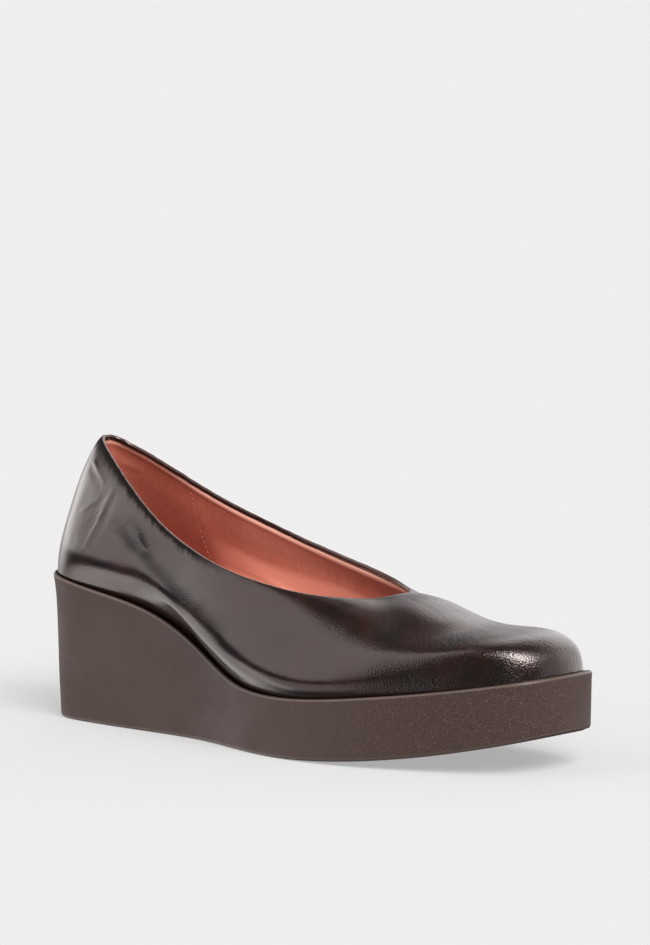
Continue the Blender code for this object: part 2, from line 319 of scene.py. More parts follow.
# Where the finishes change along the shoe, in metres from its middle
HEEL_WRINKLED = (-0.085, -0.06)
LEATHER_FORWARD = (0.015, 0.095)
LEATHER_TOE = (0.075, 0.112)
SOLE_FORWARD = (0.0, 0.11)

# Soft studio panels round the shoe, by angle from the front and height, in degrees, each with soft edges. The
# front is the side of the shoe that faces FRONT_TURN, and angles grow to its right.
FRONT_TURN = 40.3
Panel = namedtuple("Panel", "name middle half soft low rise high fall colour level")
WARM, PLAIN = (1.0, 0.955, 0.93), (1.0, 0.975, 0.965)
PANELS = [
    Panel("left_wall", -127.0, 20.0, 5.0, 4.0, 3.0, 22.0, 8.0, PLAIN, 1.5),
    Panel("left_front", -81.0, 31.0, 5.0, 5.5, 3.0, 64.5, 4.0, PLAIN, 1.5),
    Panel("heel_glow", -128.0, 11.0, 4.0, -10.0, 6.0, 17.0, 8.0, PLAIN, 2.1),
    Panel("left_floor", -118.0, 26.0, 5.0, -42.0, 8.0, -11.5, 3.0, WARM, 1.45),
    Panel("front_floor", -74.0, 28.0, 6.0, -44.0, 8.0, -10.0, 4.0, WARM, 1.1),
    Panel("front_fill", 0.0, 18.0, 8.0, 20.0, 4.0, 35.0, 8.0, PLAIN, 3.4),
    Panel("key", 24.0, 21.5, 5.0, 28.5, 5.0, 54.5, 4.0, PLAIN, 12.6),
    Panel("key_right", 45.0, 30.0, 8.0, 36.0, 6.0, 65.0, 6.0, PLAIN, 3.0),
    Panel("right_wall", 90.0, 34.0, 8.0, -34.0, 6.0, 51.0, 8.0, WARM, 0.62),
    Panel("back_low", 141.0, 33.5, 3.0, -11.5, 6.0, 31.0, 6.0, PLAIN, 1.0),
    Panel("back_high", 156.0, 25.0, 3.0, 26.0, 6.0, 45.0, 5.0, PLAIN, 1.1),
    Panel("back_top", 176.0, 14.5, 5.0, 42.0, 3.0, 64.0, 4.0, PLAIN, 1.4),
    Panel("back_left", -162.0, 21.0, 6.0, -10.0, 6.0, 17.5, 6.0, PLAIN, 0.82),
    Panel("top_left", -156.0, 12.0, 10.0, 66.5, 5.0, 73.0, 5.0, WARM, 1.1),
]
AMBIENT = 0.12
BACKDROP = 0.865
FLOOR_COLOUR = (0.30, 0.302, 0.304)
FLOOR_GLOW = 0.40
FLOOR_SIZE = 30.0

# Camera, in the frame's metres
EYE = Vector((1.35387, -1.59548, 0.34457))
AIM = Vector((-0.00225, 0.01286, 0.10516))
LENS = 204.98
SENSOR = 36.0
CLIP_END = 100.0


def spline_slopes(at, values, period=None):
    """Slopes at the knots of the smooth cubic curve through values, closed where a period is given."""
    count = len(at)
    matrix = np.zeros((count, count))
    right = np.zeros((count,) + values.shape[1:])
    closed = period is not None
    for k in range(count):
        before, after = (k - 1) % count, (k + 1) % count
        step_in = (at[k] - at[before]) % period if closed else at[k] - at[before]
        step_out = (at[after] - at[k]) % period if closed else at[after] - at[k]
        if closed or k > 0:
            matrix[k, before] += 1 / step_in
            matrix[k, k] += 2 / step_in
            right[k] += 3 * (values[k] - values[before]) / step_in**2
        if closed or k < count - 1:
            matrix[k, after] += 1 / step_out
            matrix[k, k] += 2 / step_out
            right[k] += 3 * (values[after] - values[k]) / step_out**2
    return np.linalg.solve(matrix, right)


def spline(at, values, where, period=None):
    """Points of that curve at each place in where."""
    at, values = np.asarray(at, float), np.asarray(values, float)
    slopes = spline_slopes(at, values, period)
    if period is not None:
        at = np.append(at, at[0] + period)
        values = np.concatenate([values, values[:1]])
        slopes = np.concatenate([slopes, slopes[:1]])
    where = np.asarray(where, float)
    k = np.clip(np.searchsorted(at, where, side="right") - 1, 0, len(at) - 2)
    shape = where.shape + (1,) * (values.ndim - 1)
    step = (at[k + 1] - at[k]).reshape(shape)
    t = (where - at[k]).reshape(shape) / step
    return (
        (2 * t**3 - 3 * t**2 + 1) * values[k]
        + (t**3 - 2 * t**2 + t) * step * slopes[k]
        + (3 * t**2 - 2 * t**3) * values[k + 1]
        + (t**3 - t**2) * step * slopes[k + 1]
    )


def rim_height(along):
    return spline([r.along for r in RIM], [r.height for r in RIM], along)


def floor_height(along):
    """Height of the sole's top inside its rim."""
    return rim_height(along) - LIP_RECESS


def foot_height(along):
    """Height of the sole's underside: flat on the floor, then sprung up towards the toe."""
    share = np.clip((along - SPRING_START) / (SOLE_LENGTH - SPRING_START), 0, None)
    return TOE_SPRING * share**2


def insole_foot_height(along):
    return floor_height(along) + GAP


def insole_top_height(along):
    return insole_foot_height(along) + INSOLE_THICKNESS


def run_along(points):
    """Length along a line of points up to each of them."""
    return np.append(0, np.cumsum(np.linalg.norm(np.diff(points, axis=0), axis=1)))


def ring_knots():
    """Place of each row round the shoe: 0 at the heel's back, 1 at the toe, on to 2 at the heel again."""
    points = np.array([(r.along, r.outer_across) for r in OUTLINE])
    run = run_along(points)
    side = run / run[-1]
    return np.append(side, 2 - side[-2:0:-1])


def even_ring(count):
    """Places of count evenly spaced points round the shoe."""
    return np.arange(count) * 2 / count


def leather_ring():
    """Places of the leather's points, closer together where its creases are."""
    at, density = np.array(LEATHER_DENSITY).T
    fine = np.linspace(0, 2, DENSITY_STEPS + 1)
    run = np.append(0, np.cumsum(np.interp(fine[:-1], at, density)))
    return np.interp(np.arange(LEATHER_POINTS_AROUND) / LEATHER_POINTS_AROUND, run / run[-1], fine)


def round_the_shoe(outer, inner, ring):
    """A column of the tables as a smooth closed curve at the places in ring."""
    values = np.array(list(outer) + list(inner)[-2:0:-1], float)
    return spline(ring_knots(), values, ring, period=2)


def same_both_sides(values, ring):
    return round_the_shoe(values, values, ring)


def outline_ring(ring):
    """The sole's top outline in plan, and the direction outwards at each of its points."""
    plan = round_the_shoe(
        [(r.along, -r.outer_across) for r in OUTLINE],
        [(r.along, r.inner_across) for r in OUTLINE],
        ring,
    )
    tangent = np.roll(plan, -1, axis=0) - np.roll(plan, 1, axis=0)
    outwards = np.stack([tangent[:, 1], -tangent[:, 0]], axis=1)
    return plan, outwards / np.linalg.norm(outwards, axis=1)[:, None]


def inset_ring(ring, inset):
    """The outline drawn in by inset, a number or one for each point."""
    plan, outwards = outline_ring(ring)
    return plan - outwards * np.reshape(np.broadcast_to(inset, len(ring)), (-1, 1))


def with_height(plan, height):
    return np.column_stack([plan, height])


def feather_inset(ring):
    """How far inside the sole's outline the upper's lower edge runs."""
    return same_both_sides([r.ledge + r.tuck for r in OUTLINE], ring)


def collar_ring(ring):
    return round_the_shoe(
        [(r.along, -r.outer_across, r.height) for r in COLLAR],
        [(r.along, r.inner_across, r.height) for r in COLLAR],
        ring,
    )


def rib_column(name, ring):
    return same_both_sides([getattr(r, name) for r in RIBS], ring)


def rib_knots(ring):
    """Knots of each rib of the upper's outer face, from its lower edge to the collar."""
    plan = inset_ring(ring, feather_inset(ring))
    _, outwards = outline_ring(ring)
    feather = with_height(plan, floor_height(plan[:, 0]) + GAP)
    belly_out, belly_up = rib_column("belly_out", ring), rib_column("belly_up", ring)
    belly = feather + with_height(outwards * belly_out[:, None], belly_up)
    collar = collar_ring(ring)
    chord = collar - feather
    around = np.roll(feather, -1, axis=0) - np.roll(feather, 1, axis=0)
    out = np.cross(around, chord)
    out /= np.linalg.norm(out, axis=1)[:, None]
    knots = [feather, belly]
    for name in ("shoulder", "instep", "crest"):
        share = rib_column(name + "_at", ring)[:, None]
        proud = rib_column(name + "_out", ring)[:, None]
        knots.append(feather + chord * share + out * proud)
    return np.array(knots + [collar])


def unit(vectors):
    return vectors / np.linalg.norm(vectors, axis=-1, keepdims=True)


class Skin:
    """The upper's outer face from its lower edge to so far below the collar, as rows of rings, with the
    direction out of it, the direction up along it and how far each point lies below the collar and above the
    lower edge."""

    def __init__(self, ring, rows, short_of_collar):
        count = len(ring)
        knots = rib_knots(ring)
        self.points = np.empty((rows + 1, count, 3))
        self.below = np.empty((rows + 1, count))
        for i in range(count):
            run = run_along(knots[:, i])
            where = np.linspace(0, run[-1] - short_of_collar, rows + 1)
            self.points[:, i] = spline(run, knots[:, i], where)
            self.below[:, i] = run[-1] - where
        self.above = self.below.max(axis=0) - self.below
        around = np.roll(self.points, -1, axis=1) - np.roll(self.points, 1, axis=1)
        self.up = unit(np.gradient(self.points, axis=0))
        self.out = unit(np.cross(around, self.up))

    def at_depth(self, depth):
        """The face set in by depth, a number or one for each point."""
        return self.points - self.out * np.broadcast_to(depth, self.below.shape)[..., None]

    def beyond(self, up, depth):
        """A ring past the last row, so far up and so deep."""
        return self.points[-1] + self.up[-1] * up - self.out[-1] * depth


def smooth_step(values, low, high):
    """0 below low, 1 above high, smooth between."""
    share = np.clip((values - low) / (high - low), 0, 1)
    return share**2 * (3 - 2 * share)


def near_segment(first, second, start, end, width):
    """1 on the line from start to end, fading to 0 to its sides and its ends."""
    start, end = np.array(start, float), np.array(end, float)
    line = end - start
    offset = np.stack([first - start[0], second - start[1]], axis=-1)
    share = np.clip(offset @ line / (line @ line), 0, 1)
    miss = np.linalg.norm(offset - share[..., None] * line, axis=-1)
    return np.exp(-((miss / width) ** 2)) * np.sqrt(np.clip(4 * share * (1 - share), 0, 1))


def crease_share(crease, points):
    """1 on a crease as seen from the side, fading to 0 away from it, on both sides of the foot."""
    start, end = (crease.along_1, crease.height_1), (crease.along_2, crease.height_2)
    return near_segment(points[..., 0], points[..., 2], start, end, crease.width)


def crease_lift(points):
    """How far the creases lift each point."""
    along, across = points[..., 0], points[..., 1]
    lift = np.zeros(along.shape)
    for c in CREASES:
        lift += c.lift * crease_share(c, points) * (across * c.side > 0)
    for f in FOLDS:
        share = near_segment(along, across, (f.along_1, f.across_1), (f.along_2, f.across_2), f.width)
        lift += f.lift * share
    return lift


def slit_share(points):
    """1 in the slit on the outer side, 0 away from it."""
    return crease_share(SLIT, points) * (points[..., 1] * SLIT.side > 0)


def noise_at(points, size):
    """Smooth noise from -1 to 1 whose bumps are about size apart."""
    flat = points.reshape(-1, 3) / size
    return np.array([noise.noise(Vector(p)) for p in flat]).reshape(points.shape[:-1])


def back_seam(skin):
    """Lift of the closing seam down the back of the heel: a groove with a low ridge on either side."""
    points = skin.points
    behind = points[..., 0] < points[-1][..., 0].min() + BACK_SEAM_REACH
    aside = np.where(behind, np.abs(points[..., 1]), np.inf)
    groove = np.exp(-((aside / BACK_SEAM_WIDTH) ** 2))
    ridges = np.exp(-(((aside - BACK_SEAM_RIDGE) / BACK_SEAM_WIDTH) ** 2))
    return BACK_SEAM_DEPTH * (BACK_SEAM_RAISE * ridges - groove)


def waist_lift(skin):
    """How far the sides stand out at the waist: most on their fullest line, nothing at the collar."""
    along, height = skin.points[..., 0], skin.points[..., 2]
    over = height - np.interp(along, *zip(*FULLEST_LINE))
    to_collar = skin.points[-1][..., 2] - height
    climbed = np.clip(over / (to_collar + np.abs(over)), 0, 1)
    above = 0.5 + 0.5 * np.cos(np.pi * climbed)
    under = np.exp(-((over / FULLEST_FALL) ** 2))
    share = np.exp(-(((along - FULLEST_ALONG) / FULLEST_REACH) ** 2))
    return FULLEST_LIFT * share * np.where(over > 0, above, under)


def vamp_swell(skin):
    """How far the vamp stands out on its outer side, but for its edge at the collar."""
    ahead, aside = skin.points[..., 0] - SWELL_ALONG, skin.points[..., 1] - SWELL_ACROSS
    lengthwise = (ahead * math.cos(SWELL_SLANT) + aside * math.sin(SWELL_SLANT)) / SWELL_LENGTH
    sidewise = (ahead * math.sin(SWELL_SLANT) - aside * math.cos(SWELL_SLANT)) / SWELL_WIDTH
    return SWELL_LIFT * np.exp(-(lengthwise**2) - sidewise**2) * smooth_step(skin.below, 0, SWELL_EDGE)


def leather_lift(skin):
    """How far the leather stands out of the solid's face at each point."""
    points = skin.points
    collar = np.broadcast_to(points[-1], points.shape)
    fading = np.clip((FADE_END - collar[..., 0]) / FADE_LENGTH, FADE_LEAST, 1)
    puckers = noise_at(collar, PUCKER_LENGTH)
    lift = crease_lift(points) + back_seam(skin)
    for size, depth in WOBBLES:
        lift += depth * noise_at(points, size)
    lift += PUCKER_DEPTH * fading * np.exp(-skin.below / PUCKER_REACH) * puckers
    lift *= np.clip(skin.above / FOOT_FLAT, 0, 1)
    lift -= ROLL_DEPTH * fading * (1 + ROLL_UNEVEN * puckers) * np.exp(-skin.below / ROLL_REACH)
    waist = np.clip(1 - np.abs(points[..., 0] - FOOT_WAIST) / FOOT_WAIST_HALF, 0, 1)
    lift += FOOT_OUT * waist * np.exp(-((skin.above / FOOT_REACH) ** 2))
    return lift + waist_lift(skin) + vamp_swell(skin)


def fringe_share(skin):
    """1 at the folded edge, 0 below its ragged dark fringe, fainter towards the toe."""
    points = skin.points
    collar = np.broadcast_to(points[-1], points.shape)
    wide = FRINGE_REACH + FRINGE_AT_HEEL * (1 - smooth_step(collar[..., 0], *FRINGE_HEEL))
    ragged = noise_at(collar, FRINGE_COARSE) + FRINGE_FINE_SHARE * noise_at(points, FRINGE_FINE)
    reach = wide + FRINGE_RAGGED * ragged
    strong = np.clip((FRINGE_END - collar[..., 0]) / FRINGE_FADE, FRINGE_LEAST, 1)
    return strong * (1 - smooth_step(skin.below, FRINGE_FULL * reach, FRINGE_GONE * reach))


def ring_faces(rows, count, closed):
    """Faces between each of the rows of rings and the next, and from the last to the first if closed."""
    here = np.arange(rows if closed else rows - 1)[:, None]
    there = (here + 1) % rows
    i = np.arange(count)[None, :]
    j = (i + 1) % count
    quads = [here * count + i, here * count + j, there * count + j, there * count + i]
    return np.stack(quads, axis=-1).reshape(-1, 4)


def make_piece(name, points, faces, marks=None):
    """An object from points in the tables' millimetres, shaded smooth, with marks as its point attributes."""
    mesh = bpy.data.meshes.new(name)
    mesh.from_pydata((np.asarray(points) * MM + SHIFT).tolist(), [], [list(f) for f in faces])
    mesh.validate()
    mesh.shade_smooth()
    for mark, values in (marks or {}).items():
        attribute = mesh.attributes.new(mark, "FLOAT", "POINT")
        attribute.data.foreach_set("value", np.asarray(values, np.float32).ravel())
    piece = bpy.data.objects.new(name, mesh)
    bpy.context.scene.collection.objects.link(piece)
    return piece


def ring_piece(name, rings, marks=None):
    """A closed piece from rings that run round its section."""
    rings = np.array(rings)
    rows, count = rings.shape[:2]
    return make_piece(name, rings.reshape(-1, 3), ring_faces(rows, count, True), marks)


def upper_leather():
    skin = Skin(leather_ring(), LEATHER_ROWS, FOLD_START)
    lift = leather_lift(skin)
    rings = list(skin.at_depth(-lift))
    edge = [np.zeros(LEATHER_POINTS_AROUND)] * len(rings)
    last = lift[-1][:, None]
    climb = skin.below[-2] - skin.below[-1]
    lean = np.clip(np.arctan2(lift[-2] - lift[-1], climb), *FOLD_LEAN)
    collar = skin.points[-1]
    nub = NUB_RISE * np.exp(-(((collar[:, 0] - NUB_ALONG) / NUB_HALF) ** 2)) * (collar[:, 1] > 0)
    for share in np.linspace(0, 1, ROUND_STEPS + 1)[1:]:
        turn = lean + share * (np.pi - lean)
        up = FOLD_RADIUS * (np.sin(turn) - np.sin(lean)) + nub * np.sin(turn)
        deep = FOLD_RADIUS * (np.cos(lean) - np.cos(turn))
        rings.append(skin.beyond(up[:, None], deep[:, None] - last))
        # The edge mark paints a highlight on the fold, strongest at its top
        edge.append(np.sin(turn))
    down = -(FOLD_DEPTH + FOLD_RADIUS * np.sin(lean))[:, None]
    inside = (FOLD_RADIUS * (1 + np.cos(lean)))[:, None] - last
    rings.append(skin.beyond(down, inside))
    rings.append(skin.beyond(down - HEM_DROP, inside - HEM_IN))
    rings.append(skin.beyond(down - HEM_DROP, LEATHER - last))
    hidden = skin.at_depth(LEATHER - lift)
    rings += list(hidden[-HIDDEN_ROW_START::-HIDDEN_ROW_STEP])
    rings.append(hidden[0])
    edge += [np.zeros(LEATHER_POINTS_AROUND)] * (len(rings) - len(edge))
    # The dull mark paints the slit dark, as painted shade inside the cut, and marks the dull dark fringe
    # under the folded edge
    dull = slit_share(np.array(rings))
    dull[: LEATHER_ROWS + 1] = np.maximum(dull[: LEATHER_ROWS + 1], fringe_share(skin))
    return ring_piece("upper_leather", rings, {"edge": np.array(edge), "dull": dull})


def lining_skin():
    return Skin(even_ring(POINTS_AROUND), LINING_ROWS, FOLD_RADIUS + FOLD_DEPTH + LINING_DROP + LINING_EDGE)


def seam_along(height):
    return SEAM_ALONG + (SEAM_HEIGHT - height) * SEAM_SLANT


def lining_depth(skin):
    """Depth of the lining's face: its front panel laps over the heel panel, with a soft fold at the heel."""
    ahead = skin.points[..., 0] - seam_along(skin.points[..., 2])
    step = SEAM_STEP / (1 + np.exp(-ahead / SEAM_SOFT))
    soft = LINING_SOFT_DEPTH * noise_at(skin.points, LINING_SOFT_SIZE)
    fold = LINING_FOLD.lift * crease_share(LINING_FOLD, skin.points)
    under_edge = (skin.below - skin.below[-1] - LINING_BEAD_BELOW) / LINING_BEAD_HALF
    edge_bead = LINING_BEAD * np.exp(-(under_edge**2))
    rolled_in = LINING_ROLL * ROLL_DEPTH * np.exp(-skin.below / (2 * ROLL_REACH))
    full = smooth_step(skin.below, *LINING_FULL_BELOW) * smooth_step(skin.above, *LINING_FULL_ABOVE)
    return WALL + step + soft + fold + edge_bead + rolled_in + LINING_FULL * full


def lining_painted_light(skin):
    """How much light is painted onto the lining at each point, from 0, painted shade, through its plain level
    to 1, full painted light.
    """
    along = skin.points[..., 0]
    ahead = smooth_step(along, *LIGHT_PAINT_AHEAD)
    low = smooth_step(skin.below - np.interp(along, *zip(*PALE_FROM)), 0, PALE_FADE)
    back = 1 - smooth_step(along, *LIGHT_PAINT_BACK)
    return LINING_PAINT_PLAIN * (1 - ahead) + ahead * low + HEEL_PAINTED_LIGHT * back


def lining():
    skin = lining_skin()
    depth = lining_depth(skin)
    rings = list(skin.at_depth(depth))
    middle, radius = (depth[-1] + LINING_OUTER) / 2, (depth[-1] - LINING_OUTER) / 2
    for turn in np.linspace(0, np.pi, ROUND_STEPS + 1)[1:]:
        deep = middle + radius * np.cos(turn)
        rings.append(skin.beyond(LINING_EDGE * np.sin(turn), deep[:, None]))
    rings += list(skin.at_depth(LINING_OUTER)[::-HIDDEN_ROW_STEP])
    edge = np.zeros(np.array(rings).shape[:2])
    # The edge mark paints a highlight on the lining's rounded top, fading out just under it
    edge[: LINING_ROWS + 1] = 1 - smooth_step(skin.below - skin.below[-1], *LINING_EDGE_HIGHLIGHT)
    edge[LINING_ROWS + 1 : LINING_ROWS + ROUND_STEPS] = 1
    painted_light = np.zeros(edge.shape)
    # Painted light and shade on the lining, carried as a mark
    painted_light[: LINING_ROWS + 1] = lining_painted_light(skin)
    return ring_piece("lining", rings[::-1], {"edge": edge[::-1], "painted_light": painted_light[::-1]})


def seam_path(skin, side):
    """Points and inward directions down the lining's seam on one side, from the collar."""
    half = POINTS_AROUND // 2
    columns = np.arange(1, half) if side == OUTER else np.arange(half + 1, POINTS_AROUND)
    face = skin.at_depth(lining_depth(skin))
    path, inwards = [], []
    for row in range(LINING_ROWS, 0, -1):
        ring = face[row, columns]
        ahead = ring[:, 0] - seam_along(ring[:, 2])
        k = np.nonzero(np.sign(ahead[:-1]) != np.sign(ahead[1:]))[0][0]
        share = ahead[k] / (ahead[k] - ahead[k + 1])
        path.append(ring[k] * (1 - share) + ring[k + 1] * share)
        inwards.append(-skin.out[row, columns[k]])
    return np.array(path), np.array(inwards)


def bead(length, radius, sides=8, rings=7, blunt=0.02):
    """Points and faces of a little rounded rod along x, its middle at the origin."""
    points = []
    for along in np.cos(np.linspace(np.pi, 0, rings)):
        thick = radius * np.sqrt(max(1 - along**4, blunt))
        for k in range(sides):
            turn = 2 * np.pi * k / sides
            points.append((along * length / 2, thick * np.cos(turn), thick * np.sin(turn)))
    faces = [list(f) for f in ring_faces(rings, sides, False)]
    faces.append(list(range(sides))[::-1])
    faces.append(list(range((rings - 1) * sides, rings * sides)))
    return np.array(points), faces


def placed(shape, at, along, out):
    """The points of shape moved to a place, with its x along one direction and its z out of the surface."""
    along = unit(np.asarray(along, float))
    out = unit(np.asarray(out, float) - along * np.dot(out, along))
    return np.asarray(at) + shape @ np.array([along, np.cross(out, along), out])


def joined(name, parts):
    """One piece from several lots of points and faces."""
    points, faces, first = [], [], 0
    for part_points, part_faces in parts:
        points.append(part_points)
        faces += [[first + k for k in face] for face in part_faces]
        first += len(part_points)
    return make_piece(name, np.vstack(points), faces)


def lining_stitches():
    skin = lining_skin()
    shape, faces = bead(STITCH_LENGTH, STITCH_RADIUS)
    parts = []
    for side in (OUTER, INNER):
        path, inwards = seam_path(skin, side)
        run = run_along(path)
        for place in np.arange(STITCH_PITCH, run[-1], STITCH_PITCH):
            k = np.searchsorted(run, place)
            at = np.array([np.interp(place, run, path[:, axis]) for axis in range(3)])
            sunk = STITCH_SINK * math.sin(math.pi * min(1.0, place / SEAM_SHOWN))
            parts.append((placed(shape, at - sunk * inwards[k], path[k] - path[k - 1], inwards[k]), faces))
    return joined("lining_stitches", parts)


def sole_profile(ring):
    """Rings of the sole as inset, height and share of painted edge highlight, from the inside of its rim to
    the floor, and the inset of the rim's inside."""
    count = len(ring)
    ledge = same_both_sides([r.ledge for r in OUTLINE], ring)
    draft = same_both_sides([r.draft for r in OUTLINE], ring)
    plan = outline_ring(ring)[0]
    rim, foot = rim_height(plan[:, 0]), foot_height(plan[:, 0])
    tall = rim - foot
    flare = np.minimum(FLARE_DEPTH, FLARE_SHARE * tall)
    rows = [(ledge + step.inset, rim - step.fall, step.edge) for step in RIM_STEPS]
    for turn in QUARTER_TURN:
        fall = LIP_ROUND * (1 - np.cos(turn))
        rows.append((LIP_ROUND * (1 - np.sin(turn)), rim - fall, np.sin(2 * turn)))
    knots = [(np.zeros(count), LIP_ROUND * np.ones(count))]
    for row in SIDE:
        knots.append((row.draft_in * draft, row.flare_down * flare + row.tall_down * tall))
    knots.append((draft, tall - FOOT_ROUND))
    insets, falls = np.swapaxes(knots, 0, 1)
    shares = np.linspace(0, 1, SIDE_STEPS + 1)[1:]
    smooth = np.empty((2, SIDE_STEPS, count))
    for i in range(count):
        reach = falls[0, i] + shares * (falls[-1, i] - falls[0, i])
        smooth[:, :, i] = spline(falls[:, i], insets[:, i], reach), reach
    rows += [(inset, rim - fall, 0.0) for inset, fall in zip(*smooth)]
    for turn in QUARTER_TURN[1:]:
        inset = draft + FOOT_ROUND * (1 - np.cos(turn))
        rows.append((inset, foot + FOOT_ROUND * (1 - np.sin(turn)), np.sin(2 * turn)))
    return rows, ledge


def strips_across(ring, first, fresh_first, height_at):
    """Points and faces that close a ring. Its indices start at first, those of the points at fresh_first."""
    half = len(ring) // 2
    points, rows = [], [[first]]
    for i in range(1, half):
        row = [first + i]
        for share in np.linspace(0, 1, STEPS_ACROSS + 1)[1:-1]:
            point = ring[i] * (1 - share) + ring[-i] * share
            point[2] = height_at(point[0])
            row.append(fresh_first + len(points))
            points.append(point)
        rows.append(row + [first + len(ring) - i])
    rows.append([first + half])
    faces = []
    for here, there in zip(rows, rows[1:]):
        for k in range(STEPS_ACROSS):
            corners = [here[min(k, len(here) - 1)], there[min(k, len(there) - 1)]]
            corners += [there[min(k + 1, len(there) - 1)], here[min(k + 1, len(here) - 1)]]
            faces.append(list(dict.fromkeys(corners)))
    return points, faces


def closed_solid(name, rings, top_height, foot_height_at, edges):
    """A piece from rings, closed across at the first by a top and at the last by an underside."""
    rings = np.array(rings)
    rows, count = rings.shape[:2]
    points = list(rings.reshape(-1, 3))
    faces = [list(f) for f in ring_faces(rows, count, False)]
    fresh, strips = strips_across(rings[0], 0, len(points), top_height)
    points += fresh
    faces += [strip[::-1] for strip in strips]
    fresh, strips = strips_across(rings[-1], (rows - 1) * count, len(points), foot_height_at)
    points += fresh
    faces += strips
    marks = np.zeros(len(points))
    marks[: rows * count] = np.ravel(edges)
    return make_piece(name, points, faces, {"edge": marks})


def sole():
    ring = even_ring(POINTS_AROUND)
    rows, ledge = sole_profile(ring)
    bed = inset_ring(ring, ledge + LIP_LEAN)
    rings = [with_height(bed, floor_height(bed[:, 0]))]
    edges = [np.zeros(POINTS_AROUND)]
    for inset, height, edge in rows:
        rings.append(with_height(inset_ring(ring, inset), height))
        edges.append(np.full(POINTS_AROUND, edge))
    return closed_solid("wedge_sole", rings, floor_height, foot_height, edges)


def lining_inset(ring):
    """How far the lining's face stands inside the sole's outline at the height of the insole's top."""
    plan, outwards = outline_ring(ring)
    skin = lining_skin()
    face = skin.at_depth(lining_depth(skin))
    above = face[..., 2] - insole_top_height(face[..., 0])
    row, column = np.maximum(np.argmax(above > 0, axis=0), 1), np.arange(len(ring))
    over, under = above[row, column], above[row - 1, column]
    share = np.clip(over / (over - under), 0, 1)[:, None]
    reached = face[row, column] * (1 - share) + face[row - 1, column] * share
    return ((plan - reached[:, :2]) * outwards).sum(axis=1)


def insole():
    ring = even_ring(POINTS_AROUND)
    inset = lining_inset(ring) + INSOLE_CLEARANCE
    rings = []
    for turn in QUARTER_TURN:
        plan = inset_ring(ring, inset + INSOLE_ROUND * (1 - np.sin(turn)))
        rings.append(with_height(plan, insole_top_height(plan[:, 0]) - INSOLE_ROUND * (1 - np.cos(turn))))
    plan = inset_ring(ring, feather_inset(ring) + WALL + INSOLE_CLEARANCE)
    rings.append(with_height(plan, insole_foot_height(plan[:, 0])))
    edges = np.zeros((len(rings), POINTS_AROUND))
    return closed_solid("coral_insole", rings, insole_top_height, insole_foot_height, edges)


class Tree:
    """Short calls for building a node tree."""

    def __init__(self, tree):
        self.tree = tree
        tree.nodes.clear()

    def add(self, kind, inputs=None, **settings):
        """A node of that kind. An input is a socket to link or a value to set, by name or by number."""
        node = self.tree.nodes.new("ShaderNode" + kind)
        for name, value in settings.items():
            setattr(node, name, value)
        for name, value in (inputs or {}).items():
            socket = node.inputs[name]
            if isinstance(value, bpy.types.NodeSocket):
                self.tree.links.new(value, socket)
            else:
                socket.default_value = value
        return node

    def math(self, operation, first, second=0.0, third=0.0):
        return self.add("Math", {0: first, 1: second, 2: third}, operation=operation).outputs[0]

    def vector(self, operation, first, second=(0, 0, 0)):
        return self.add("VectorMath", {0: first, 1: second}, operation=operation).outputs[0]

    def dot(self, first, second):
        return self.add("VectorMath", {0: first, 1: second}, operation="DOT_PRODUCT").outputs["Value"]

    def noise(self, place, scale, detail=3.0, roughness=0.5):
        inputs = {"Vector": place, "Scale": scale, "Detail": detail, "Roughness": roughness}
        return self.add("TexNoise", inputs).outputs["Fac"]

    def ramp(self, value, low, high, to_low=0.0, to_high=1.0):
        node = self.add(
            "MapRange",
            {"Value": value, "From Min": low, "From Max": high, "To Min": to_low, "To Max": to_high},
            interpolation_type="SMOOTHSTEP",
        )
        return node.outputs["Result"]

    def mix(self, share, first, second):
        node = self.add("Mix", {"Factor": share, "A": first, "B": second}, data_type="RGBA")
        return node.outputs[2]

    def mark(self, name):
        """A point attribute of the mesh."""
        return self.add("Attribute", attribute_name=name).outputs["Fac"]


def colour(red, green, blue):
    return (red, green, blue, 1.0)


def new_material(name):
    material = bpy.data.materials.new(name)
    material.use_nodes = True
    return material, Tree(material.node_tree)


def place_of(tree):
    """Place on the object, in metres."""
    return tree.add("TexCoord").outputs["Object"]


def along_of(tree, place):
    """Place along the shoe, in metres from its middle towards the toe."""
    return tree.add("SeparateXYZ", {0: place}).outputs[0]


def stretched(tree, place, scale):
    return tree.vector("MULTIPLY", place, scale)


def bump(tree, height, depth, strength=1.0, normal=None):
    inputs = {"Height": height, "Distance": depth * MM, "Strength": strength}
    if normal is not None:
        inputs["Normal"] = normal
    return tree.add("Bump", inputs).outputs["Normal"]


def surface(tree, inputs):
    shader = tree.add("BsdfPrincipled", inputs)
    tree.add("OutputMaterial", {"Surface": shader.outputs[0]})


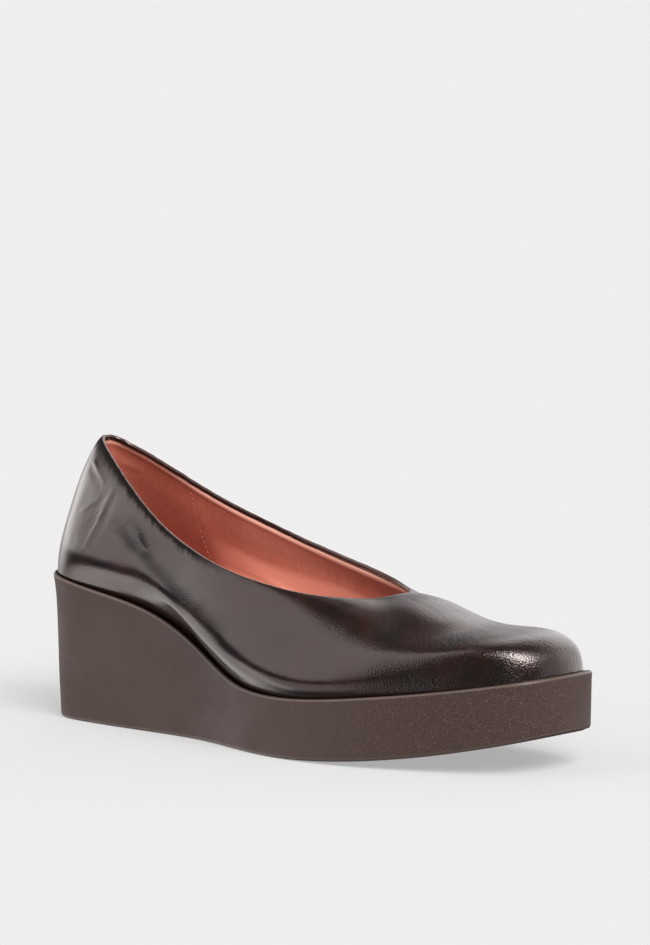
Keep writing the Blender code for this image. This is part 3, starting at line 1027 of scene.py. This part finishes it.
def leather_material():
    """Polished calf: pebbled grain strongest at the toe, streaks along the foot, fine wrinkles at the heel, a
    pale painted highlight along the folded edge, and a dull dark fringe and slit, the slit's darkness being
    painted shade."""
    material, tree = new_material("polished_leather")
    place = place_of(tree)
    along = along_of(tree, place)
    forward = tree.ramp(along, *LEATHER_FORWARD)
    grain = tree.add("TexVoronoi", {"Vector": place, "Scale": 1350.0})
    pores = tree.noise(place, 2300.0, 2.0)
    streaks = tree.noise(stretched(tree, place, (110, 900, 900)), 1.0, 4.0, 0.6)
    patches = tree.noise(place, 70.0, 4.0, 0.6)
    across, down = tree.dot(place, WRINKLE_ACROSS), tree.dot(place, WRINKLE_DOWN)
    wrinkle_place = tree.add("CombineXYZ", {0: across, 1: down}).outputs[0]
    at_heel = tree.ramp(along, *HEEL_WRINKLED, 1.0, 0.0)
    wrinkles = tree.math("MULTIPLY", tree.noise(wrinkle_place, 1.0, 3.0, 0.55), at_heel)
    dark, red = colour(0.0058, 0.0036, 0.0031), colour(0.0150, 0.0050, 0.0036)
    base = tree.mix(tree.ramp(patches, 0.35, 0.7), dark, red)
    base = tree.mix(tree.ramp(streaks, 0.55, 0.75, 0.0, 0.35), base, colour(0.022, 0.013, 0.011))
    edge = tree.mark("edge")
    # Painted highlight: paler along the top of the folded edge, by the edge mark
    base = tree.mix(tree.ramp(edge, 0.3, 1.0, 0.0, 0.8), base, colour(0.080, 0.044, 0.035))
    dull = tree.mark("dull")
    # Darker where dull: painted shade in the slit, and the fringe's dark dull finish
    base = tree.mix(dull, base, colour(0.004, 0.0028, 0.0025))
    rough = tree.math("ADD", tree.ramp(patches, 0.3, 0.7, 0.13, 0.19), tree.ramp(pores, 0.3, 0.7, 0.0, 0.05))
    toe = tree.ramp(along, *LEATHER_TOE)
    rough = tree.math("MULTIPLY_ADD", toe, 0.01, rough)
    rough = tree.math("MULTIPLY_ADD", dull, 0.5, rough)
    polish = tree.math("MULTIPLY_ADD", toe, 0.25, 0.45)
    height = tree.math("ADD", grain.outputs["Distance"], tree.math("MULTIPLY", pores, 0.6))
    strength = tree.math("MULTIPLY_ADD", forward, 0.75, 0.25)
    normal = bump(tree, wrinkles, 0.25, 0.25)
    normal = bump(tree, streaks, 0.05, tree.math("MULTIPLY_ADD", forward, 0.5, 0.2), normal)
    normal = bump(tree, height, 0.086, strength, normal)
    surface(tree, {
        "Base Color": base,
        "Roughness": rough,
        "Specular Tint": tree.mix(dull, colour(1.0, 0.82, 0.79), colour(0.22, 0.18, 0.17)),
        "Coat Weight": tree.math("MULTIPLY_ADD", dull, -0.45, polish),
        "Coat Roughness": 0.09,
        "Normal": normal,
        "Coat Normal": normal,
    })
    return material


def lining_material(name, pale, deep, gloss, with_painted_light=False):
    """Coral lining with fine streaks down it and a painted highlight along its top edge; for the lining
    proper also painted shade near the collar and painted light lower down and at the heel.
    """
    material, tree = new_material(name)
    place = place_of(tree)
    streaks = tree.noise(stretched(tree, place, (1500, 1500, 90)), 1.0, 3.0, 0.6)
    patches = tree.noise(place, 120.0, 4.0, 0.6)
    weave = tree.noise(place, 1800.0, 2.0)
    share = tree.math("MULTIPLY", tree.ramp(streaks, 0.3, 0.75), 0.7)
    share = tree.math("MULTIPLY_ADD", patches, 0.4, share)
    height = tree.math("ADD", streaks, tree.math("MULTIPLY", weave, 0.5))
    edge = tree.mark("edge")
    base = tree.mix(share, colour(*deep), colour(*pale))
    if with_painted_light:
        painted_light = tree.mark("painted_light")
        # Painted shade: darker where the mark is under its plain level, near the collar ahead of the seam
        base = tree.mix(tree.ramp(painted_light, 0.0, LINING_PAINT_PLAIN, 0.45, 0.0), base, colour(0.17, 0.035, 0.021))
        # Painted light: paler where the mark is over its plain level, low down and at the back of the heel
        base = tree.mix(tree.ramp(painted_light, LINING_PAINT_PLAIN, 1.0, 0.0, 0.85), base, colour(0.71, 0.280, 0.200))
    surface(tree, {
        # Painted highlight: paler coral along the lining's top edge, by the edge mark
        "Base Color": tree.mix(tree.math("MULTIPLY", edge, 0.75), base, colour(0.78, 0.40, 0.30)),
        "Roughness": tree.ramp(patches, 0.3, 0.7, gloss, gloss + 0.12),
        "Sheen Weight": 0.08,
        "Normal": bump(tree, height, 0.05, 0.6),
    })
    return material


def thread_material():
    material, tree = new_material("pale_thread")
    place = place_of(tree)
    twist = tree.noise(stretched(tree, place, (3000, 3000, 900)), 1.0, 2.0)
    surface(tree, {
        "Base Color": tree.mix(twist, colour(0.50, 0.19, 0.13), colour(0.62, 0.30, 0.22)),
        "Roughness": 0.6,
        "Normal": bump(tree, twist, 0.03, 0.6),
    })
    return material


def sole_material():
    """Moulded brown rubber: very fine grain, redder and speckled towards the toe, glossier and painted paler
    on its rounded edges as a highlight.
    """
    material, tree = new_material("moulded_sole")
    place = place_of(tree)
    along = along_of(tree, place)
    grain = tree.noise(place, 2400.0, 3.0, 0.6)
    patches = tree.noise(place, 45.0, 4.0, 0.6)
    forward = tree.ramp(along, *SOLE_FORWARD)
    share = tree.math("ADD", forward, tree.math("MULTIPLY", patches, 0.3))
    base = tree.mix(share, colour(0.061, 0.038, 0.033), colour(0.034, 0.0155, 0.0110))
    base = tree.mix(tree.ramp(grain, 0.35, 0.75, 0.0, 0.5), base, colour(0.095, 0.064, 0.056))
    specks = tree.ramp(tree.noise(place, 2000.0, 2.0), 0.60, 0.72)
    speckled = tree.math("MULTIPLY", specks, tree.math("MULTIPLY", forward, 0.6))
    base = tree.mix(speckled, base, colour(0.20, 0.145, 0.125))
    edge = tree.mark("edge")
    # Painted highlight: paler on the rounded edges, by the edge mark
    base = tree.mix(tree.math("MULTIPLY", edge, 0.25), base, colour(0.24, 0.19, 0.17))
    surface(tree, {
        "Base Color": base,
        "Roughness": tree.math("MULTIPLY_ADD", edge, -0.32, tree.ramp(patches, 0.3, 0.7, 0.55, 0.68)),
        "Specular IOR Level": 0.4,
        "Normal": bump(tree, grain, 0.05, 0.5),
    })
    return material


def floor_material():
    material, tree = new_material("pale_floor")
    place = place_of(tree)
    grain = tree.noise(place, 900.0, 2.0)
    surface(tree, {
        "Base Color": tree.mix(grain, colour(*FLOOR_COLOUR), colour(*[c * 1.004 for c in FLOOR_COLOUR])),
        "Roughness": 0.9,
        "Specular IOR Level": 0.0,
        "Emission Color": colour(1.0, 1.0, 1.0),
        "Emission Strength": FLOOR_GLOW,
    })
    return material


def angle_mask(tree, angle, low, rise, high, fall):
    """1 between two angles in degrees, fading to 0 within rise of the low one and fall of the high one."""
    rising = tree.ramp(angle, math.radians(low - rise), math.radians(low + rise))
    falling = tree.ramp(angle, math.radians(high - fall), math.radians(high + fall), 1.0, 0.0)
    return tree.math("MULTIPLY", rising, falling)


def light_studio():
    """A world of soft panels, plain and pale where the camera sees it."""
    world = bpy.data.worlds.new("studio")
    bpy.context.scene.world = world
    world.use_nodes = True
    tree = Tree(world.node_tree)
    direction = tree.vector("NORMALIZE", tree.add("TexCoord").outputs["Generated"])
    up = tree.math("ARCSINE", tree.add("SeparateXYZ", {0: direction}).outputs[2])
    light = tree.add("CombineXYZ", {0: AMBIENT, 1: AMBIENT, 2: AMBIENT}).outputs[0]
    for panel in PANELS:
        turn = math.radians(FRONT_TURN + panel.middle)
        front = (math.sin(turn), -math.cos(turn), 0)
        right = (math.cos(turn), math.sin(turn), 0)
        ahead, aside = tree.dot(direction, front), tree.dot(direction, right)
        angle = tree.math("ARCTAN2", aside, ahead)
        sideways = angle_mask(tree, angle, -panel.half, panel.soft, panel.half, panel.soft)
        upright = angle_mask(tree, up, panel.low, panel.rise, panel.high, panel.fall)
        mask = tree.math("MULTIPLY", sideways, upright)
        full = tuple(c * panel.level for c in panel.colour)
        glow = tree.add("VectorMath", {0: full, "Scale": mask}, operation="SCALE").outputs[0]
        light = tree.vector("ADD", light, glow)
    seen = tree.add("LightPath").outputs["Is Camera Ray"]
    shown = tree.mix(seen, light, colour(BACKDROP, BACKDROP, BACKDROP))
    back = tree.add("Background", {"Color": shown})
    tree.add("OutputWorld", {"Surface": back.outputs[0]})


def lay_floor():
    half = FLOOR_SIZE / 2
    corners = [(-half, -half, 0), (half, -half, 0), (half, half, 0), (-half, half, 0)]
    mesh = bpy.data.meshes.new("floor")
    mesh.from_pydata(corners, [], [(0, 1, 2, 3)])
    floor = bpy.data.objects.new("floor", mesh)
    bpy.context.scene.collection.objects.link(floor)
    mesh.materials.append(floor_material())
    floor.visible_glossy = False


def place_camera():
    camera = bpy.data.cameras.new("camera")
    camera.lens = LENS
    camera.sensor_width = SENSOR
    camera.clip_end = CLIP_END
    holder = bpy.data.objects.new("camera", camera)
    holder.location = EYE
    holder.rotation_mode = "QUATERNION"
    holder.rotation_quaternion = (AIM - EYE).to_track_quat("-Z", "Y")
    bpy.context.scene.collection.objects.link(holder)
    bpy.context.scene.camera = holder


def dress(piece, material, node=None):
    """Gives a piece its finish and ties it to the shoe's body and, where it stands for a solid, hides that
    solid.
    """
    piece.data.materials.append(material)
    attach(piece, "root")
    if node:
        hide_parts(node)


solid_plan, _ = outline_ring(even_ring(SOLID_POINTS_AROUND))
sole_low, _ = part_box("sole")
SHIFT = np.array([sole_low.x, sole_low.y, 0]) - np.append(solid_plan.min(axis=0), 0) * MM

coral = lining_material("coral_lining", (0.40, 0.112, 0.070), (0.31, 0.070, 0.042), 0.42, with_painted_light=True)
coral_sock = lining_material("coral_sock", (0.45, 0.138, 0.091), (0.38, 0.100, 0.063), 0.44)
dress(upper_leather(), leather_material(), "upper")
dress(lining(), coral, "upper")
dress(lining_stitches(), thread_material())
dress(sole(), sole_material(), "sole")
dress(insole(), coral_sock, "insole")

light_studio()
lay_floor()
place_camera()
bpy.context.scene.view_settings.view_transform = "Standard"
